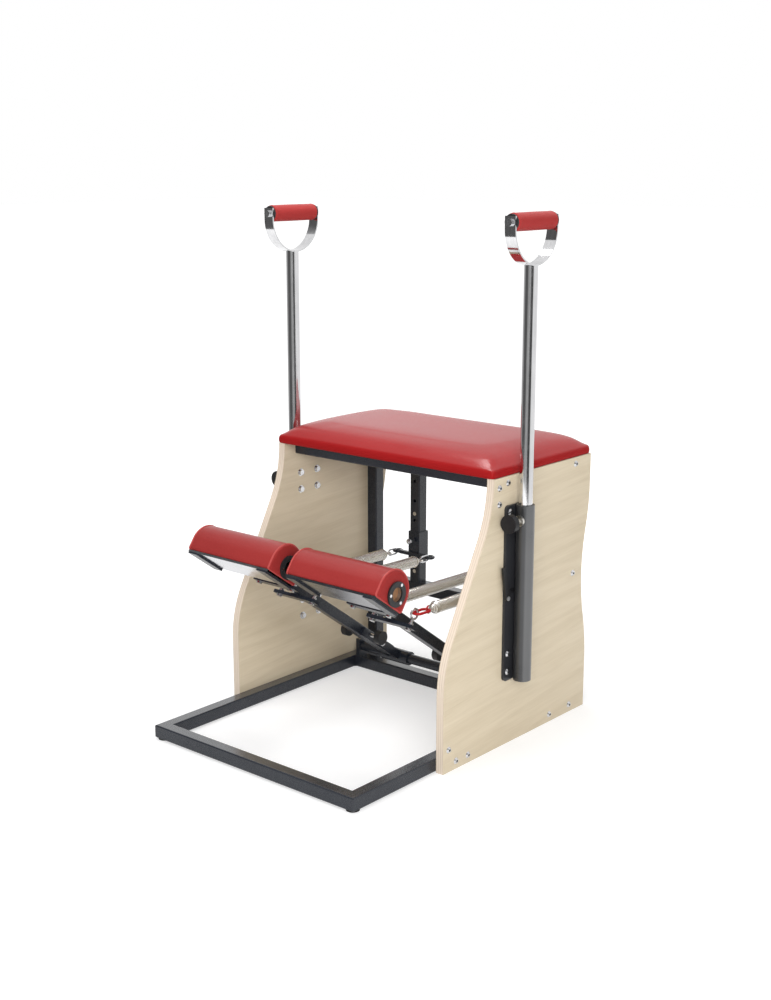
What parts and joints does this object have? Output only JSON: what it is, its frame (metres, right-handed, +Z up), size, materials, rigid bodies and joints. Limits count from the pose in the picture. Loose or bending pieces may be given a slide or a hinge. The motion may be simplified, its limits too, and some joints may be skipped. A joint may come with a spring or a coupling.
{
  "type": "pilates chair",
  "caption": "Plywood-sided exercise chair with a padded seat, split spring-loaded pedals on a low rear hinge, sliding spring carriages and height-adjustable hand loops.",
  "frame": {"origin": "floor, middle of the overall box", "axes": "+X to the sitter's left seen from the front, which is the picture's right; -Y to the front where the pedals are; +Z up"},
  "size_m": [0.729, 0.807, 1.1725],
  "materials": {
    "plywood": "satin varnish over soft diagonal grain",
    "frame_black": "charcoal powder coat",
    "foot_rubber": "matte",
    "zinc": "zinc plate",
    "seat_ply": "raw",
    "seat_red": "satin vinyl",
    "pedal_red": "satin vinyl",
    "grip_red": "satin",
    "bush_black": "matte",
    "shaft_steel": "bright",
    "dowel_wood": "oiled",
    "socket_grey": "dark grey satin",
    "chrome": "polished",
    "knob_black": "matte",
    "lever_black": "satin",
    "pedal_grey": "smooth",
    "flange_black": "satin",
    "spring_nickel": "nickel plate",
    "snap_red": "anodised"
  },
  "bodies": {
    "chair": {"base_front_tube": "frame_black", "base_left_tube": "frame_black", "base_right_tube": "frame_black", "rear_cross_tube": "frame_black", "rear_posts": "frame_black", "cross_beams": "frame_black", "spring_posts": "frame_black", "foot_pads": "foot_rubber", "frame_bolts": "zinc", "left_panel": "plywood", "right_panel": "plywood", "seat_board": "seat_ply", "seat_cushion": "seat_red", "left_handle_socket": "socket_grey", "right_handle_socket": "socket_grey", "socket_bolts": "zinc", "socket_bushes": "bush_black", "hinge_shaft": "frame_black", "hinge_brackets": "frame_black"},
    "left_pedal": {"left_arm": "frame_black", "left_arm_foot": "frame_black", "left_arm_knobs": "knob_black", "left_pedal_bars": "frame_black", "left_pedal_bolts": "zinc", "left_pedal_tube": "shaft_steel", "left_pedal_board": "pedal_grey", "left_pedal_cushion": "pedal_red", "left_pedal_flanges": "flange_black"},
    "left_carriage": {"left_carriage": "frame_black"},
    "left_pull_pin": {"left_pull_pin": "zinc"},
    "left_links": {"left_links": "zinc"},
    "left_springs": {"left_spring_plugs": "spring_nickel", "left_springs": "spring_nickel"},
    "left_hooks": {"left_snap_hooks": "snap_red"},
    "left_handle": {"left_handle": "chrome", "left_grip_bolt": "zinc"},
    "left_grip": {"left_grip": "grip_red"},
    "left_clamp_knob": {"left_clamp_knob": "knob_black"},
    "left_latch_lever": {"left_latch_lever": "lever_black"},
    "right_pedal": {"right_arm": "frame_black", "right_arm_foot": "frame_black", "right_arm_knobs": "knob_black", "right_pedal_bars": "frame_black", "right_pedal_bolts": "zinc", "right_pedal_tube": "shaft_steel", "right_pedal_board": "pedal_grey", "right_pedal_cushion": "pedal_red", "right_pedal_flanges": "flange_black"},
    "right_carriage": {"right_carriage": "frame_black"},
    "right_pull_pin": {"right_pull_pin": "zinc"},
    "right_links": {"right_links": "zinc"},
    "right_springs": {"right_spring_plugs": "spring_nickel", "right_springs": "spring_nickel"},
    "right_hooks": {"right_snap_hooks": "snap_red"},
    "right_handle": {"right_handle": "chrome", "right_grip_bolt": "zinc"},
    "right_grip": {"right_grip": "grip_red"},
    "right_clamp_knob": {"right_clamp_knob": "knob_black"},
    "right_latch_lever": {"right_latch_lever": "lever_black"},
    "dowel": {"pedal_dowel": "dowel_wood"}
  },
  "joints": [
    {"name": "left_pedal_press", "type": "hinge", "parent": "chair", "child": "left_pedal", "pos_m": [-0.143, 0.2595, 0.058], "axis": [1, 0, 0], "range_deg": [0, 30], "stiffness_Nm_per_rad": 60, "springref_deg": -34.38},
    {"name": "left_carriage_height", "type": "slide", "parent": "chair", "child": "left_carriage", "axis": [0, 0, 1], "range_m": [-0.05, 0.05]},
    {"name": "left_pin_push", "type": "slide", "parent": "left_carriage", "child": "left_pull_pin", "axis": [0, 1, 0], "range_m": [0, 0.006]},
    {"name": "left_link_swing", "type": "hinge", "parent": "left_carriage", "child": "left_links", "pos_m": [-0.143, 0.3135, 0.309], "axis": [1, 0, 0], "range_deg": [-8, 8]},
    {"name": "left_spring_swing", "type": "hinge", "parent": "left_links", "child": "left_springs", "pos_m": [-0.143, 0.29351, 0.30957], "axis": [1, 0, 0], "range_deg": [0, 25.1]},
    {"name": "left_spring_stretch", "type": "slide", "parent": "left_springs", "child": "left_hooks", "axis": [0, -0.9996, 0.0283], "range_m": [0, 0.129], "deforming": ["left_springs"]},
    {"name": "left_handle_height", "type": "slide", "parent": "chair", "child": "left_handle", "axis": [0, 0, 1], "range_m": [-0.1, 0.1]},
    {"name": "left_grip_spin", "type": "hinge", "parent": "left_handle", "child": "left_grip", "pos_m": [-0.3445, 0.1095, 1.153], "axis": [0, 1, 0], "continuous": true},
    {"name": "left_clamp_turn", "type": "hinge", "parent": "chair", "child": "left_clamp_knob", "pos_m": [-0.3445, 0.0595, 0.519], "axis": [0, -1, 0], "range_deg": [0, 180]},
    {"name": "left_latch_pull", "type": "hinge", "parent": "chair", "child": "left_latch_lever", "pos_m": [-0.3296, 0.0705, 0.346], "axis": [1, 0, 0], "range_deg": [0, 30], "stiffness_Nm_per_rad": 0.4, "springref_deg": -28.65},
    {"name": "right_pedal_press", "type": "hinge", "parent": "chair", "child": "right_pedal", "pos_m": [0.143, 0.2595, 0.058], "axis": [1, 0, 0], "range_deg": [0, 30], "stiffness_Nm_per_rad": 60, "springref_deg": -34.38},
    {"name": "right_carriage_height", "type": "slide", "parent": "chair", "child": "right_carriage", "axis": [0, 0, 1], "range_m": [-0.05, 0.05]},
    {"name": "right_pin_push", "type": "slide", "parent": "right_carriage", "child": "right_pull_pin", "axis": [0, 1, 0], "range_m": [0, 0.006]},
    {"name": "right_link_swing", "type": "hinge", "parent": "right_carriage", "child": "right_links", "pos_m": [0.143, 0.3135, 0.309], "axis": [1, 0, 0], "range_deg": [-8, 8]},
    {"name": "right_spring_swing", "type": "hinge", "parent": "right_links", "child": "right_springs", "pos_m": [0.143, 0.29351, 0.30957], "axis": [1, 0, 0], "range_deg": [0, 25.1]},
    {"name": "right_spring_stretch", "type": "slide", "parent": "right_springs", "child": "right_hooks", "axis": [0, -0.9996, 0.0283], "range_m": [0, 0.129], "deforming": ["right_springs"]},
    {"name": "right_handle_height", "type": "slide", "parent": "chair", "child": "right_handle", "axis": [0, 0, 1], "range_m": [-0.1, 0.1]},
    {"name": "right_grip_spin", "type": "hinge", "parent": "right_handle", "child": "right_grip", "pos_m": [0.3445, 0.1095, 1.153], "axis": [0, 1, 0], "continuous": true},
    {"name": "right_clamp_turn", "type": "hinge", "parent": "chair", "child": "right_clamp_knob", "pos_m": [0.3445, 0.0595, 0.519], "axis": [0, -1, 0], "range_deg": [0, 180]},
    {"name": "right_latch_pull", "type": "hinge", "parent": "chair", "child": "right_latch_lever", "pos_m": [0.3296, 0.0705, 0.346], "axis": [1, 0, 0], "range_deg": [0, 30], "stiffness_Nm_per_rad": 0.4, "springref_deg": -28.65},
    {"name": "dowel_slide", "type": "slide", "parent": "right_pedal", "child": "dowel", "axis": [1, 0, 0], "range_m": [-0.15, 0]}
  ],
  "couplings": [
    {"joint": "left_link_swing", "follows": "left_carriage_height", "rad_per_m": 2.52},
    {"joint": "left_spring_swing", "follows": "left_pedal_press", "ratio": 0.834},
    {"joint": "left_spring_stretch", "follows": "left_pedal_press", "m_per_rad": 0.2445},
    {"joint": "right_link_swing", "follows": "right_carriage_height", "rad_per_m": 2.52},
    {"joint": "right_spring_swing", "follows": "right_pedal_press", "ratio": 0.834},
    {"joint": "right_spring_stretch", "follows": "right_pedal_press", "m_per_rad": 0.2445}
  ]
}
